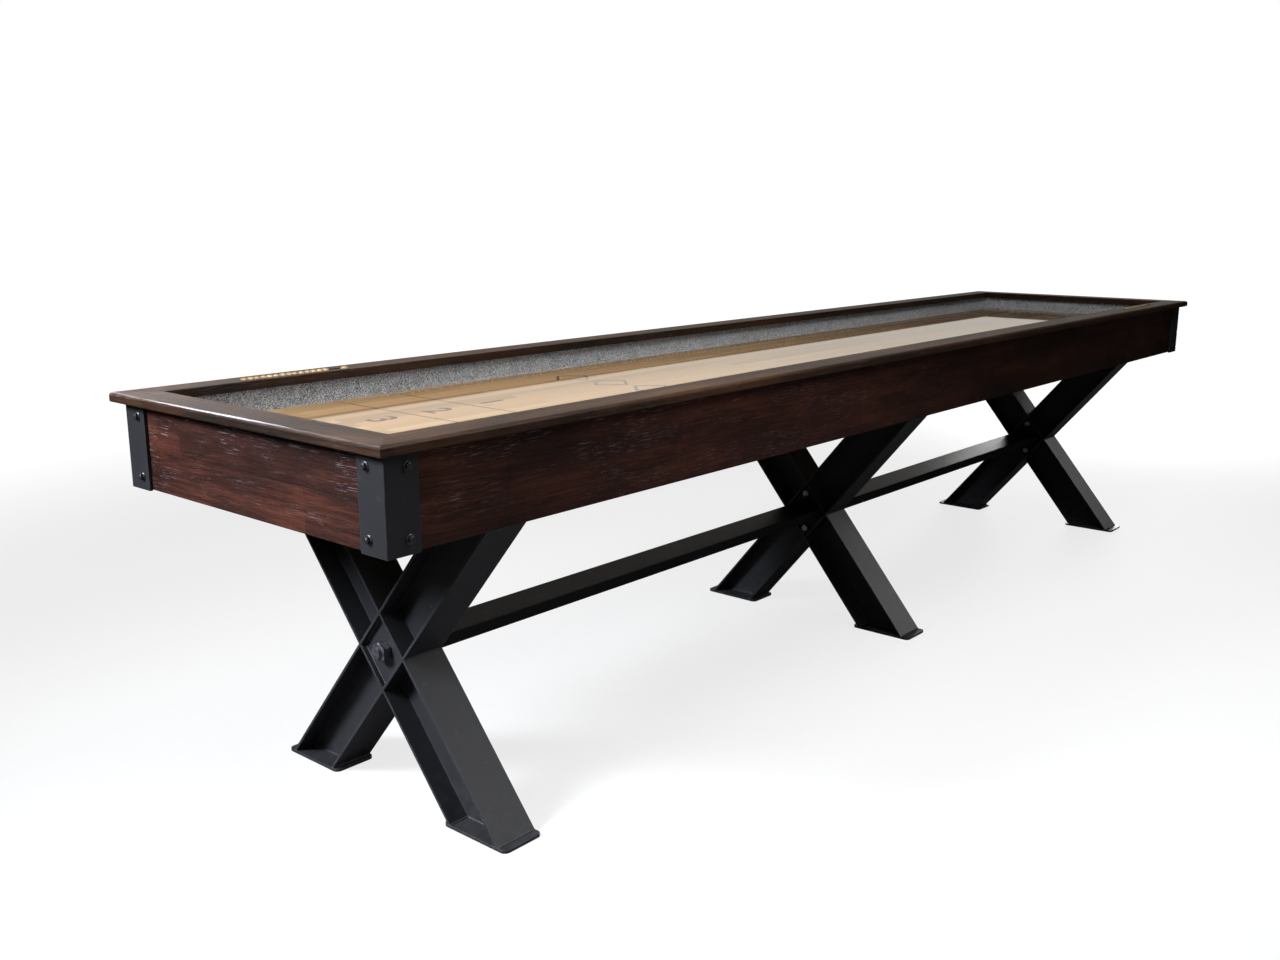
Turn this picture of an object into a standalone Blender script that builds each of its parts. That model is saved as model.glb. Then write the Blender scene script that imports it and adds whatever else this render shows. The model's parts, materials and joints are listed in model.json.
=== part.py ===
"""A twelve-foot shuffleboard table on three X-shaped steel legs, one object per piece.

Metres, +Z up. X runs along the table and Y across it, and the origin is on the floor under the
middle of the table. "near" is the -X end, "far" the +X end, "front" the -Y side and "rear" +Y.
"""

import math

import bmesh
import bpy
from mathutils import Matrix, Vector

GAP = 0.0003  # clearance between two pieces that touch
HOLE_EXTRA = 0.005  # by which a hole's cutter runs past the faces that it cuts

# Whole table
LENGTH = 3.658
WIDTH = 0.824
HEIGHT = 0.811

# Top rails and cabinet walls; "out" is measured inwards from the table's outer edge
RAIL_WIDTH = 0.072
RAIL_THICK = 0.019
RAIL_ROUND = 0.007  # radius along the outer top edge
RAIL_UNDER_ROUND = 0.003
RAIL_EASE = 0.0015
OVERHANG = 0.0265
APRON_THICK = 0.025
APRON_BOTTOM = 0.629
APRON_EASE = 0.0015
LINER_THICK = 0.010

# Playfield and what carries it
FIELD_LENGTH = 3.225
FIELD_WIDTH = 0.508
FIELD_THICK = 0.038
FIELD_DROP = 0.048  # from the rail's top down to the playing surface
FIELD_EASE = 0.002
CRADLE_HEIGHT = 0.030
CRADLE_WIDTH = 0.070
CRADLE_LENGTH = 0.480
BED_THICK = 0.018
MEMBER_WIDTH = 0.140
MEMBER_THICK = 0.0317

# Playfield adjusters: a bar across the underside with a screw in its middle
ADJUSTER_X = (-1.0, -0.45, 0.45, 1.0)
BAR_LENGTH = 0.400
BAR_WIDTH = 0.032
BAR_THICK = 0.005
BAR_PAD_LENGTH = 0.040
BAR_PAD_HEIGHT = 0.010
SCREW_RADIUS = 0.005
SCREW_ACROSS_FLATS = 0.016
SCREW_HEAD_HEIGHT = 0.006
SCREW_CHAMFER = 0.001  # at a screw's or bolt's tip and round its head
ACCESS_RADIUS = 0.022

# X-shaped legs, welded from H-beams that cross in the plane of Y and Z
LEG_X = (-1.4905, 0.0, 1.4905)
LEG_NAMES = ("near", "middle", "far")
LEG_ANGLE = math.radians(39.8)  # of each beam from upright
CROSS_Z = 0.3085
BEAM_DEPTH = 0.1065
BEAM_WIDTH = 0.095
FLANGE_THICK = 0.005
WEB_THICK = 0.005
CROSS_PLATE_THICK = 0.008
CROSS_PLATE_INSET = 0.012  # from the flanges' edges to the plate's face
FOOT_THICK = 0.006
FOOT_MARGIN_OUT = 0.020  # of the foot plate beyond the beam, away from the table's middle
FOOT_MARGIN_IN = 0.014
FOOT_MARGIN_X = 0.0005
FOOT_ROUND = 0.012
TOP_PLATE_THICK = 0.008
TOP_PLATE_LENGTH = 0.700
TOP_PLATE_WIDTH = 0.110
TOP_PLATE_ROUND = 0.010

# Stretchers between the legs, and their fixings
TUBE_WIDTH = 0.098
TUBE_HEIGHT = 0.025
TUBE_WALL = 0.003
TUBE_ROUND = 0.003
END_PLATE_THICK = 0.006
END_PLATE_CLEARANCE = 0.0015
DRAIN_RADIUS = 0.004
DRAIN_FROM_END = 0.060
BOLT_OFFSET = 0.050  # of the fixing bolts above and below the tube's middle
BOLT_RADIUS = 0.005
BOLT_HOLE_RADIUS = 0.0055
BOLT_ACROSS_FLATS = 0.017
BOLT_HEAD_HEIGHT = 0.007
SHORT_BOLT_LENGTH = 0.018
STUD_RADIUS = 0.012
STUD_HOLE_RADIUS = 0.0127
NUT_ACROSS_FLATS = 0.036
NUT_HEIGHT = 0.019
NUT_EASE = 0.05  # chamfer round a nut, as a share of its size across flats
STUD_BEYOND_NUT = 0.005
BOLT_BEYOND_NUT = 0.003

# Corner brackets
BRACKET_LEG = 0.0665
BRACKET_THICK = 0.006
BRACKET_BOTTOM = 0.6275
BRACKET_ROUND = 0.002
BRACKET_EASE = 0.001

# Score counters: beads on a rod in a groove in the rail
SLOT_OUT = 0.0465  # from the rail's outer edge to the groove's middle
SLOT_WIDTH = 0.0165
SLOT_DEPTH = 0.0115
ROD_RADIUS = 0.002
ROD_BELOW_TOP = 0.003
ROD_SOCKET = 0.008
BEAD_LENGTH = 0.0151
BEAD_RADIUS = 0.007
BEAD_FACE_RADIUS = 0.0042
BEAD_BORE_RADIUS = 0.0025
BEAD_SWELL = 0.6  # the smaller, the more barrel-shaped a bead
BEADS_IN_ROW = 13
BEAD_TRAVEL = 0.0325
REAR_SLOT_START = -1.5778
FRONT_SLOT_START = 1.3181

# Levels that follow from the sizes above
RAIL_BOTTOM = HEIGHT - RAIL_THICK
FIELD_TOP = HEIGHT - FIELD_DROP
FIELD_BOTTOM = FIELD_TOP - FIELD_THICK
BED_TOP = FIELD_BOTTOM - CRADLE_HEIGHT
BED_BOTTOM = BED_TOP - BED_THICK
MEMBER_BOTTOM = BED_BOTTOM - MEMBER_THICK
TOP_PLATE_TOP = MEMBER_BOTTOM - GAP
TOP_PLATE_BOTTOM = TOP_PLATE_TOP - TOP_PLATE_THICK
WALL_INSIDE = OVERHANG + APRON_THICK  # "out" of the aprons' inner face
LINER_INSIDE = WALL_INSIDE + LINER_THICK

ARC_STEPS = 6  # segments in a quarter turn of an eased edge
SMALL_ARC_STEPS = 3  # the same for a radius of a few millimetres
ROUND_STEPS = 24  # sides of a turned piece; a multiple of 12, so that a hexagon keeps its corners
BEAD_STEPS = 6  # segments along a bead's side
SHARP_ANGLE = math.radians(35)  # edges bent by more than this are shaded as sharp

# Colour, roughness and metallic value of each material
MATERIALS = {
    "espresso_wood": ((0.045, 0.018, 0.012), 0.45, 0.0),
    "maple": ((0.55, 0.36, 0.19), 0.15, 0.0),
    "grey_carpet": ((0.12, 0.12, 0.13), 0.95, 0.0),
    "plywood": ((0.40, 0.29, 0.17), 0.7, 0.0),
    "black_steel": ((0.018, 0.018, 0.021), 0.5, 0.6),
    "plated_steel": ((0.55, 0.55, 0.56), 0.35, 1.0),
    "bead_wood": ((0.72, 0.58, 0.34), 0.35, 0.0),
}


def material(name):
    """The named material, made when it is first asked for."""
    found = bpy.data.materials.get(name)
    if found:
        return found
    colour, roughness, metallic = MATERIALS[name]
    made = bpy.data.materials.new(name)
    made.use_nodes = True
    shader = made.node_tree.nodes["Principled BSDF"]
    shader.inputs["Base Color"].default_value = (*colour, 1.0)
    shader.inputs["Roughness"].default_value = roughness
    shader.inputs["Metallic"].default_value = metallic
    return made


def add_object(name, mesh, finish, location=(0, 0, 0), turn=0.0, smooth=False):
    """An object for a mesh, placed and turned about Z; a smooth one keeps its sharp edges."""
    if smooth:
        mesh.shade_smooth()
        mesh.set_sharp_from_angle(angle=SHARP_ANGLE)
    mesh.materials.clear()
    mesh.materials.append(material(finish))
    obj = bpy.data.objects.new(name, mesh)
    obj.location = location
    obj.rotation_euler = (0, 0, turn)
    bpy.context.scene.collection.objects.link(obj)
    return obj


def mesh_of(name, points, faces):
    """A mesh from points and faces, with its normals facing out."""
    mesh = bpy.data.meshes.new(name)
    mesh.from_pydata([tuple(p) for p in points], [], faces)
    work = bmesh.new()
    work.from_mesh(mesh)
    bmesh.ops.recalc_face_normals(work, faces=work.faces)
    work.to_mesh(mesh)
    work.free()
    return mesh


def skin(loops, closed=False):
    """Faces between loops of equally many points: capped at both ends, or closed into a ring."""
    count = len(loops[0])
    points = [p for loop in loops for p in loop]
    faces = []
    pairs = len(loops) if closed else len(loops) - 1
    for i in range(pairs):
        a = i * count
        b = (i + 1) % len(loops) * count
        for k in range(count):
            n = (k + 1) % count
            faces.append((a + k, a + n, b + n, b + k))
    if not closed:
        faces.append(tuple(range(count)))
        faces.append(tuple(range(len(points) - count, len(points))))
    return points, faces


def eased(corners, radii, steps=ARC_STEPS):
    """An outline with each corner rounded to its own radius; a radius of 0 keeps it sharp."""
    outline = []
    for i, corner in enumerate(corners):
        corner = Vector(corner)
        radius = radii[i]
        if not radius:
            outline.append(tuple(corner))
            continue
        before = (Vector(corners[i - 1]) - corner).normalized()
        after = (Vector(corners[(i + 1) % len(corners)]) - corner).normalized()
        half = before.angle(after) / 2
        centre = corner + (before + after).normalized() * radius / math.sin(half)
        start = corner + before * radius / math.tan(half) - centre
        end = corner + after * radius / math.tan(half) - centre
        first = math.atan2(start.y, start.x)
        sweep = math.remainder(math.atan2(end.y, end.x) - first, 2 * math.pi)
        for k in range(steps + 1):
            angle = first + sweep * k / steps
            outline.append((centre.x + radius * math.cos(angle), centre.y + radius * math.sin(angle)))
    return outline


def rectangle(a0, a1, b0, b1):
    return [(a0, b0), (a1, b0), (a1, b1), (a0, b1)]


def prism_x(name, outline, x0, x1):
    """An outline in Y and Z, drawn out along X."""
    return mesh_of(name, *skin([[(x, y, z) for y, z in outline] for x in (x0, x1)]))


def prism_z(name, outline, z0, z1):
    """An outline in X and Y, drawn out along Z."""
    return mesh_of(name, *skin([[(x, y, z) for x, y in outline] for z in (z0, z1)]))


def ring(radius, along, hexagon=False):
    """Points round the X axis: a circle, or a hexagon that measures twice the radius across flats."""
    points = []
    for k in range(ROUND_STEPS):
        angle = 2 * math.pi * k / ROUND_STEPS
        reach = radius
        if hexagon:
            reach = radius / math.cos((angle + math.pi / 6) % (math.pi / 3) - math.pi / 6)
        points.append((along, reach * math.cos(angle), reach * math.sin(angle)))
    return points


def turned(name, profile, bored=False):
    """A piece turned about X from (along, radius) or (along, radius, True) for a hexagon."""
    loops = [ring(step[1], step[0], len(step) > 2) for step in profile]
    return mesh_of(name, *skin(loops, closed=bored))


def moved(mesh, x=0.0, y=0.0, z=0.0):
    """The mesh, moved."""
    mesh.transform(Matrix.Translation((x, y, z)))
    return mesh


def upright(mesh):
    """The mesh with its X axis turned to point up."""
    mesh.transform(Matrix.Rotation(-math.pi / 2, 4, "Y"))
    return mesh


def bar_x(radius, x0, x1, z=0.0):
    """A plain round bar along X at a height."""
    return moved(turned("bar", [(x0, radius), (x1, radius)]), z=z)


def bar_z(radius, z0, z1, x=0.0):
    """A plain round bar along Z."""
    return moved(upright(turned("bar", [(z0, radius), (z1, radius)])), x=x)


def combined(mesh, others, operation):
    """The mesh united with the others, or cut by them."""
    base = bpy.data.objects.new("work", mesh)
    bpy.context.scene.collection.objects.link(base)
    tools = []
    for i, other in enumerate(others):
        tool = bpy.data.objects.new(f"tool_{i}", other)
        bpy.context.scene.collection.objects.link(tool)
        tools.append(tool)
        change = base.modifiers.new(f"change_{i}", "BOOLEAN")
        change.operation = operation
        change.object = tool
    graph = bpy.context.evaluated_depsgraph_get()
    result = bpy.data.meshes.new_from_object(base.evaluated_get(graph))
    for obj in (base, *tools):
        bpy.data.objects.remove(obj, do_unlink=True)
    return result


# ---------------------------------------------------------------- cabinet

SIDES = {
    "front": ((0, -WIDTH / 2, 0), 0.0, LENGTH / 2),
    "rear": ((0, WIDTH / 2, 0), math.pi, LENGTH / 2),
    "near_end": ((-LENGTH / 2, 0, 0), -math.pi / 2, WIDTH / 2),
    "far_end": ((LENGTH / 2, 0, 0), math.pi / 2, WIDTH / 2),
}


def mitred_board(name, side, profile, half=None, cutters=()):
    """A board along one side of the table, from a profile in "out" and Z.

    Its ends are mitred at the table's corners. A half board is "near" or "far" and ends square
    at the joint in the middle of the table.
    """
    location, turn, reach = SIDES[side]
    directions = ("far", "near") if side == "rear" else ("near", "far")
    loops = []
    for end, direction in zip((-1, 1), directions):
        if half in (None, direction):
            loops.append([(end * (reach - out - GAP / 2), out, z) for out, z in profile])
        else:
            loops.append([(-end * GAP / 2, out, z) for out, z in profile])
    mesh = mesh_of(name, *skin(loops))
    if cutters:
        mesh = combined(mesh, cutters, "DIFFERENCE")
    return add_object(name, mesh, "espresso_wood", location, turn, smooth=True)


def rail_profile():
    corners = rectangle(0, RAIL_WIDTH, RAIL_BOTTOM, HEIGHT)
    return eased(corners, (RAIL_UNDER_ROUND, RAIL_EASE, RAIL_EASE, RAIL_ROUND))


def slot_cutters(start, side):
    """The counter's groove and the two sockets for its rod, in the rail's own axes."""
    backwards = side == "rear"
    length = slot_length()
    first, last = (-start - length, -start) if backwards else (start, start + length)
    groove = prism_z(
        "groove",
        rectangle(first, last, SLOT_OUT - SLOT_WIDTH / 2, SLOT_OUT + SLOT_WIDTH / 2),
        HEIGHT - SLOT_DEPTH,
        HEIGHT + SLOT_DEPTH,
    )
    end = ROD_SOCKET + GAP
    sockets = bar_x(ROD_RADIUS + GAP, first - end, last + end, HEIGHT - ROD_BELOW_TOP)
    moved(sockets, y=SLOT_OUT)
    return groove, sockets


def make_rails():
    profile = rail_profile()
    for side, slot_half, start in (
        ("front", "far", FRONT_SLOT_START),
        ("rear", "near", REAR_SLOT_START),
    ):
        for half in ("near", "far"):
            cutters = slot_cutters(start, side) if half == slot_half else ()
            mitred_board(f"{side}_rail_{half}", side, profile, half, cutters)
    for side in ("near_end", "far_end"):
        mitred_board(f"{side}_rail", side, profile)


def make_aprons():
    corners = rectangle(OVERHANG, WALL_INSIDE, APRON_BOTTOM, RAIL_BOTTOM - GAP)
    profile = eased(corners, (APRON_EASE, APRON_EASE, 0, 0), SMALL_ARC_STEPS)
    for side in ("front", "rear"):
        for half in ("near", "far"):
            mitred_board(f"{side}_apron_{half}", side, profile, half)
    for side in ("near_end", "far_end"):
        mitred_board(f"{side}_apron", side, profile)


def make_liners():
    """Carpeted boards against the inside of the aprons, standing on the bed."""
    outline = rectangle(WALL_INSIDE + GAP, LINER_INSIDE, BED_TOP + GAP, RAIL_BOTTOM - GAP)
    long_reach = LENGTH / 2 - WALL_INSIDE - GAP
    short_reach = WIDTH / 2 - LINER_INSIDE - GAP
    for side, reach in (
        ("front", long_reach),
        ("rear", long_reach),
        ("near_end", short_reach),
        ("far_end", short_reach),
    ):
        location, turn, _ = SIDES[side]
        name = f"{side}_carpet_liner"
        add_object(name, prism_x(name, outline, -reach, reach), "grey_carpet", location, turn)


def make_bed():
    """Two halves of the bed board, with a hole under each playfield adjuster."""
    reach_x = LENGTH / 2 - WALL_INSIDE - GAP
    reach_y = WIDTH / 2 - WALL_INSIDE - GAP
    for half, x0, x1 in (("near", -reach_x, -GAP / 2), ("far", GAP / 2, reach_x)):
        board = prism_z("board", rectangle(x0, x1, -reach_y, reach_y), BED_BOTTOM, BED_TOP)
        places = [x for x in ADJUSTER_X if x0 < x < x1]
        holes = [bar_z(ACCESS_RADIUS, BED_BOTTOM - HOLE_EXTRA, BED_TOP + HOLE_EXTRA, x) for x in places]
        add_object(f"bed_board_{half}", combined(board, holes, "DIFFERENCE"), "plywood", smooth=True)


def make_cross_pieces():
    """Cradle boards under the playfield, and the members that the legs are bolted to."""
    cradle = rectangle(-CRADLE_WIDTH / 2, CRADLE_WIDTH / 2, -CRADLE_LENGTH / 2, CRADLE_LENGTH / 2)
    reach_y = WIDTH / 2 - WALL_INSIDE - GAP
    member = rectangle(-MEMBER_WIDTH / 2, MEMBER_WIDTH / 2, -reach_y, reach_y)
    for place, x in zip(LEG_NAMES, LEG_X):
        name = f"cradle_board_{place}"
        add_object(name, prism_z(name, cradle, BED_TOP + GAP, FIELD_BOTTOM - GAP), "plywood", (x, 0, 0))
        name = f"leg_cross_member_{place}"
        add_object(name, prism_z(name, member, MEMBER_BOTTOM, BED_BOTTOM - GAP), "plywood", (x, 0, 0))


# ---------------------------------------------------------------- playfield


def make_playfield():
    reach = FIELD_WIDTH / 2
    outline = eased(
        rectangle(-reach, reach, FIELD_BOTTOM, FIELD_TOP),
        (0, 0, FIELD_EASE, FIELD_EASE),
        SMALL_ARC_STEPS,
    )
    mesh = prism_x("playfield", outline, -FIELD_LENGTH / 2, FIELD_LENGTH / 2)
    add_object("playfield", mesh, "maple", smooth=True)


def make_adjusters():
    """Bars screwed under the playfield, each with a screw that bows or flattens the slab."""
    top = FIELD_BOTTOM - GAP
    bar_top = top - BAR_PAD_HEIGHT
    bar_bottom = bar_top - BAR_THICK
    reach = BAR_LENGTH / 2
    pad = reach - BAR_PAD_LENGTH
    outline = [
        (-reach, bar_bottom),
        (reach, bar_bottom),
        (reach, top),
        (pad, top),
        (pad, bar_top),
        (-pad, bar_top),
        (-pad, top),
        (-reach, top),
    ]
    for number, x in enumerate(ADJUSTER_X, 1):
        bar = prism_x("bar", outline, -BAR_WIDTH / 2, BAR_WIDTH / 2)
        hole = bar_z(SCREW_RADIUS + GAP, bar_bottom - HOLE_EXTRA, bar_top + HOLE_EXTRA)
        name = f"adjuster_bar_{number}"
        add_object(name, combined(bar, [hole], "DIFFERENCE"), "plated_steel", (x, 0, 0), smooth=True)
        head_top = -GAP
        head_bottom = head_top - SCREW_HEAD_HEIGHT
        shank_top = top - bar_bottom - GAP
        profile = [
            (head_bottom, SCREW_ACROSS_FLATS / 2 - SCREW_CHAMFER, True),
            (head_bottom + SCREW_CHAMFER, SCREW_ACROSS_FLATS / 2, True),
            (head_top, SCREW_ACROSS_FLATS / 2, True),
            (head_top, SCREW_RADIUS),
            (shank_top - SCREW_CHAMFER, SCREW_RADIUS),
            (shank_top, SCREW_RADIUS - SCREW_CHAMFER),
        ]
        name = f"adjuster_screw_{number}"
        screw = upright(turned(name, profile))
        add_object(name, screw, "plated_steel", (x, 0, bar_bottom), smooth=True)


# ---------------------------------------------------------------- legs and stretchers


def slanted(lean, near, far, z0, z1):
    """A slanting strip in Y and Z, from one sideways offset to another, with level ends."""
    def middle(z):
        return lean * (z - CROSS_Z) * math.tan(LEG_ANGLE)

    a = near / math.cos(LEG_ANGLE)
    b = far / math.cos(LEG_ANGLE)
    return [(middle(z0) + a, z0), (middle(z0) + b, z0), (middle(z1) + b, z1), (middle(z1) + a, z1)]


def diamond(inset):
    """The diamond between the crossing beams, set in from their outer faces, in Y and Z."""
    across = (BEAM_DEPTH / 2 - inset) / math.cos(LEG_ANGLE)
    up = (BEAM_DEPTH / 2 - inset) / math.sin(LEG_ANGLE)
    return [(across, CROSS_Z), (0, CROSS_Z + up), (-across, CROSS_Z), (0, CROSS_Z - up)]


def foot_outline(lean):
    """A foot plate's outline; the beam that leans this way stands on the other side of the table."""
    centre = (CROSS_Z - FOOT_THICK) * math.tan(LEG_ANGLE)
    footprint = BEAM_DEPTH / 2 / math.cos(LEG_ANGLE)
    reach_x = BEAM_WIDTH / 2 + FOOT_MARGIN_X
    inner = centre - footprint - FOOT_MARGIN_IN
    outer = centre + footprint + FOOT_MARGIN_OUT
    ends = sorted((-lean * inner, -lean * outer))
    return eased(rectangle(-reach_x, reach_x, *ends), (FOOT_ROUND,) * 4)


def leg_mesh():
    """Two H-beams crossed and welded, with their foot plates, top plate and the plates at the cross."""
    low = FOOT_THICK / 2
    high = TOP_PLATE_BOTTOM + TOP_PLATE_THICK / 2
    flange_in = BEAM_DEPTH / 2 - FLANGE_THICK
    web_out = BEAM_DEPTH / 2 - FLANGE_THICK / 2
    pieces = []
    for lean in (-1, 1):
        for near, far in ((-BEAM_DEPTH / 2, -flange_in), (flange_in, BEAM_DEPTH / 2)):
            strip = slanted(lean, near, far, low, high)
            pieces.append(prism_x("flange", strip, -BEAM_WIDTH / 2, BEAM_WIDTH / 2))
        strip = slanted(lean, -web_out, web_out, low, high)
        pieces.append(prism_x("web", strip, -WEB_THICK / 2, WEB_THICK / 2))
        pieces.append(prism_z("foot", foot_outline(lean), 0, FOOT_THICK))
    face = BEAM_WIDTH / 2 - CROSS_PLATE_INSET
    for side in (-1, 1):
        ends = sorted((side * face, side * (face - CROSS_PLATE_THICK)))
        pieces.append(prism_x("cross_plate", diamond(FLANGE_THICK / 2), *ends))
    reach_x = TOP_PLATE_WIDTH / 2
    reach_y = TOP_PLATE_LENGTH / 2
    plate = eased(rectangle(-reach_x, reach_x, -reach_y, reach_y), (TOP_PLATE_ROUND,) * 4)
    pieces.append(prism_z("top_plate", plate, TOP_PLATE_BOTTOM, TOP_PLATE_TOP))
    return combined(pieces[0], pieces[1:], "UNION")


def make_legs():
    frame = leg_mesh()
    half = BEAM_WIDTH / 2
    behind_plate = half - CROSS_PLATE_INSET - CROSS_PLATE_THICK - HOLE_EXTRA
    for place, x in zip(LEG_NAMES, LEG_X):
        bolted = {"near": (behind_plate, half), "middle": (-half, half), "far": (-half, -behind_plate)}
        heights = (CROSS_Z - BOLT_OFFSET, CROSS_Z + BOLT_OFFSET)
        holes = [bar_x(BOLT_HOLE_RADIUS, *bolted[place], z) for z in heights]
        if place != "middle":
            holes.append(bar_x(STUD_HOLE_RADIUS, -half, half, CROSS_Z))
        add_object(f"x_leg_{place}", combined(frame.copy(), holes, "DIFFERENCE"), "black_steel", (x, 0, 0))


def stretcher_mesh(x0, x1, stud_end, stud_length):
    """A flat rectangular tube with a bolting plate welded on each end and a stud on one of them."""
    outer = eased(
        rectangle(-TUBE_WIDTH / 2, TUBE_WIDTH / 2, CROSS_Z - TUBE_HEIGHT / 2, CROSS_Z + TUBE_HEIGHT / 2),
        (TUBE_ROUND,) * 4,
        SMALL_ARC_STEPS,
    )
    inner = rectangle(
        -TUBE_WIDTH / 2 + TUBE_WALL,
        TUBE_WIDTH / 2 - TUBE_WALL,
        CROSS_Z - TUBE_HEIGHT / 2 + TUBE_WALL,
        CROSS_Z + TUBE_HEIGHT / 2 - TUBE_WALL,
    )
    plate = diamond(FLANGE_THICK + END_PLATE_CLEARANCE)
    inside = END_PLATE_THICK / 2
    tube = prism_x("tube", outer, x0 + inside, x1 - inside)
    plates = [
        prism_x("plate", plate, x0, x0 + END_PLATE_THICK),
        prism_x("plate", plate, x1 - END_PLATE_THICK, x1),
    ]
    if stud_end < 0:
        ends = (x0 - stud_length, x0 + inside)
    else:
        ends = (x1 - inside, x1 + stud_length)
    plates.append(bar_x(STUD_RADIUS, *ends, CROSS_Z))
    solid = combined(tube, plates, "UNION")
    cutters = [prism_x("hollow", inner, x0 + END_PLATE_THICK, x1 - END_PLATE_THICK)]
    for x in (x0 + DRAIN_FROM_END, x1 - DRAIN_FROM_END):
        cutters.append(bar_z(DRAIN_RADIUS, CROSS_Z - TUBE_HEIGHT, CROSS_Z, x))
    for z in (CROSS_Z - BOLT_OFFSET, CROSS_Z + BOLT_OFFSET):
        for x in (x0, x1 - END_PLATE_THICK):
            cutters.append(bar_x(BOLT_HOLE_RADIUS, x - inside, x + END_PLATE_THICK + inside, z))
    return combined(solid, cutters, "DIFFERENCE")


def bolt_profile(length):
    """A hexagon-headed bolt along X with its head's underside at 0 and its shank towards +X."""
    flats = BOLT_ACROSS_FLATS / 2
    return [
        (-BOLT_HEAD_HEIGHT, flats - SCREW_CHAMFER, True),
        (-BOLT_HEAD_HEIGHT + SCREW_CHAMFER, flats, True),
        (0, flats, True),
        (0, BOLT_RADIUS),
        (length - SCREW_CHAMFER, BOLT_RADIUS),
        (length, BOLT_RADIUS - SCREW_CHAMFER),
    ]


def nut_profile(across_flats, height, bore):
    """A hexagon nut along X between 0 and its height, as a closed ring of outlines."""
    flats = across_flats / 2
    ease = NUT_EASE * across_flats
    return [
        (0, flats - ease, True),
        (ease, flats, True),
        (height - ease, flats, True),
        (height, flats - ease, True),
        (height, bore),
        (0, bore),
    ]


def add_turned(name, profile, x, z, finish, bored=False, reverse=False):
    """A turned piece placed along X at a height, pointing towards -X when reversed."""
    turn = math.pi if reverse else 0.0
    return add_object(name, turned(name, profile, bored), finish, (x, 0, z), turn, smooth=True)


def make_stretchers():
    half = BEAM_WIDTH / 2
    plate_face = half - CROSS_PLATE_INSET  # of a leg's cross plate, from the leg's middle
    stud_end = plate_face + NUT_HEIGHT + STUD_BEYOND_NUT
    stud_length = plate_face + stud_end + GAP
    near, middle, far = LEG_X
    spans = (
        ("near", near + plate_face + GAP, middle - plate_face - GAP, -1),
        ("far", middle + plate_face + GAP, far - plate_face - GAP, 1),
    )
    for place, x0, x1, stud in spans:
        mesh = stretcher_mesh(x0, x1, stud, stud_length)
        add_object(f"stretcher_{place}", mesh, "black_steel", smooth=True)

    bore = STUD_RADIUS + GAP
    for place, x, out in (("near", near, -1), ("far", far, 1)):
        name = f"stud_nut_{place}"
        profile = nut_profile(NUT_ACROSS_FLATS, NUT_HEIGHT, bore)
        face = x + out * (plate_face + GAP)
        add_turned(name, profile, face, CROSS_Z, "black_steel", bored=True, reverse=out < 0)

    stack = END_PLATE_THICK + 2 * GAP
    through = 2 * (plate_face + stack) + BOLT_HEAD_HEIGHT + BOLT_BEYOND_NUT
    for level, side in (("upper", 1), ("lower", -1)):
        z = CROSS_Z + side * BOLT_OFFSET
        add_turned(
            f"near_leg_bolt_{level}",
            bolt_profile(SHORT_BOLT_LENGTH),
            near + plate_face + stack,
            z,
            "plated_steel",
            reverse=True,
        )
        add_turned(
            f"middle_leg_bolt_{level}",
            bolt_profile(through),
            middle - plate_face - stack,
            z,
            "plated_steel",
        )
        add_turned(
            f"middle_leg_nut_{level}",
            nut_profile(BOLT_ACROSS_FLATS, BOLT_HEAD_HEIGHT, BOLT_RADIUS + GAP),
            middle + plate_face + stack,
            z,
            "plated_steel",
            bored=True,
        )
        add_turned(
            f"far_leg_bolt_{level}",
            bolt_profile(SHORT_BOLT_LENGTH),
            far - plate_face - stack,
            z,
            "plated_steel",
        )


# ---------------------------------------------------------------- brackets and counters


def make_brackets():
    """Angle brackets that wrap the cabinet's corners, outside the aprons and under the rails."""
    inside = OVERHANG - GAP
    outside = inside - BRACKET_THICK
    end = outside + BRACKET_LEG
    corners = [
        (outside, outside),
        (end, outside),
        (end, inside),
        (inside, inside),
        (inside, end),
        (outside, end),
    ]
    outline = eased(corners, (BRACKET_ROUND, BRACKET_EASE, 0, 0, 0, BRACKET_EASE), SMALL_ARC_STEPS)
    for x_name, x_side in (("near", -1), ("far", 1)):
        for y_name, y_side in (("front", -1), ("rear", 1)):
            placed = [(x_side * (LENGTH / 2 - a), y_side * (WIDTH / 2 - b)) for a, b in outline]
            name = f"corner_bracket_{x_name}_{y_name}"
            mesh = prism_z(name, placed, BRACKET_BOTTOM, RAIL_BOTTOM - GAP)
            add_object(name, mesh, "black_steel", smooth=True)


def slot_length():
    beads = (BEADS_IN_ROW + 2) * BEAD_LENGTH
    return beads + BEAD_TRAVEL + 3 * GAP


def bead_profile(count):
    """The closed outline of a row of bored beads along X, joined face to face."""
    outer = []
    for bead in range(count):
        for k in range(1 if bead else 0, BEAD_STEPS + 1):
            share = k / BEAD_STEPS
            swell = math.sin(math.pi * share) ** BEAD_SWELL if 0 < share < 1 else 0.0
            radius = BEAD_FACE_RADIUS + (BEAD_RADIUS - BEAD_FACE_RADIUS) * swell
            outer.append(((bead + share) * BEAD_LENGTH, radius))
    return outer + [(count * BEAD_LENGTH, BEAD_BORE_RADIUS), (0, BEAD_BORE_RADIUS)]


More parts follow.
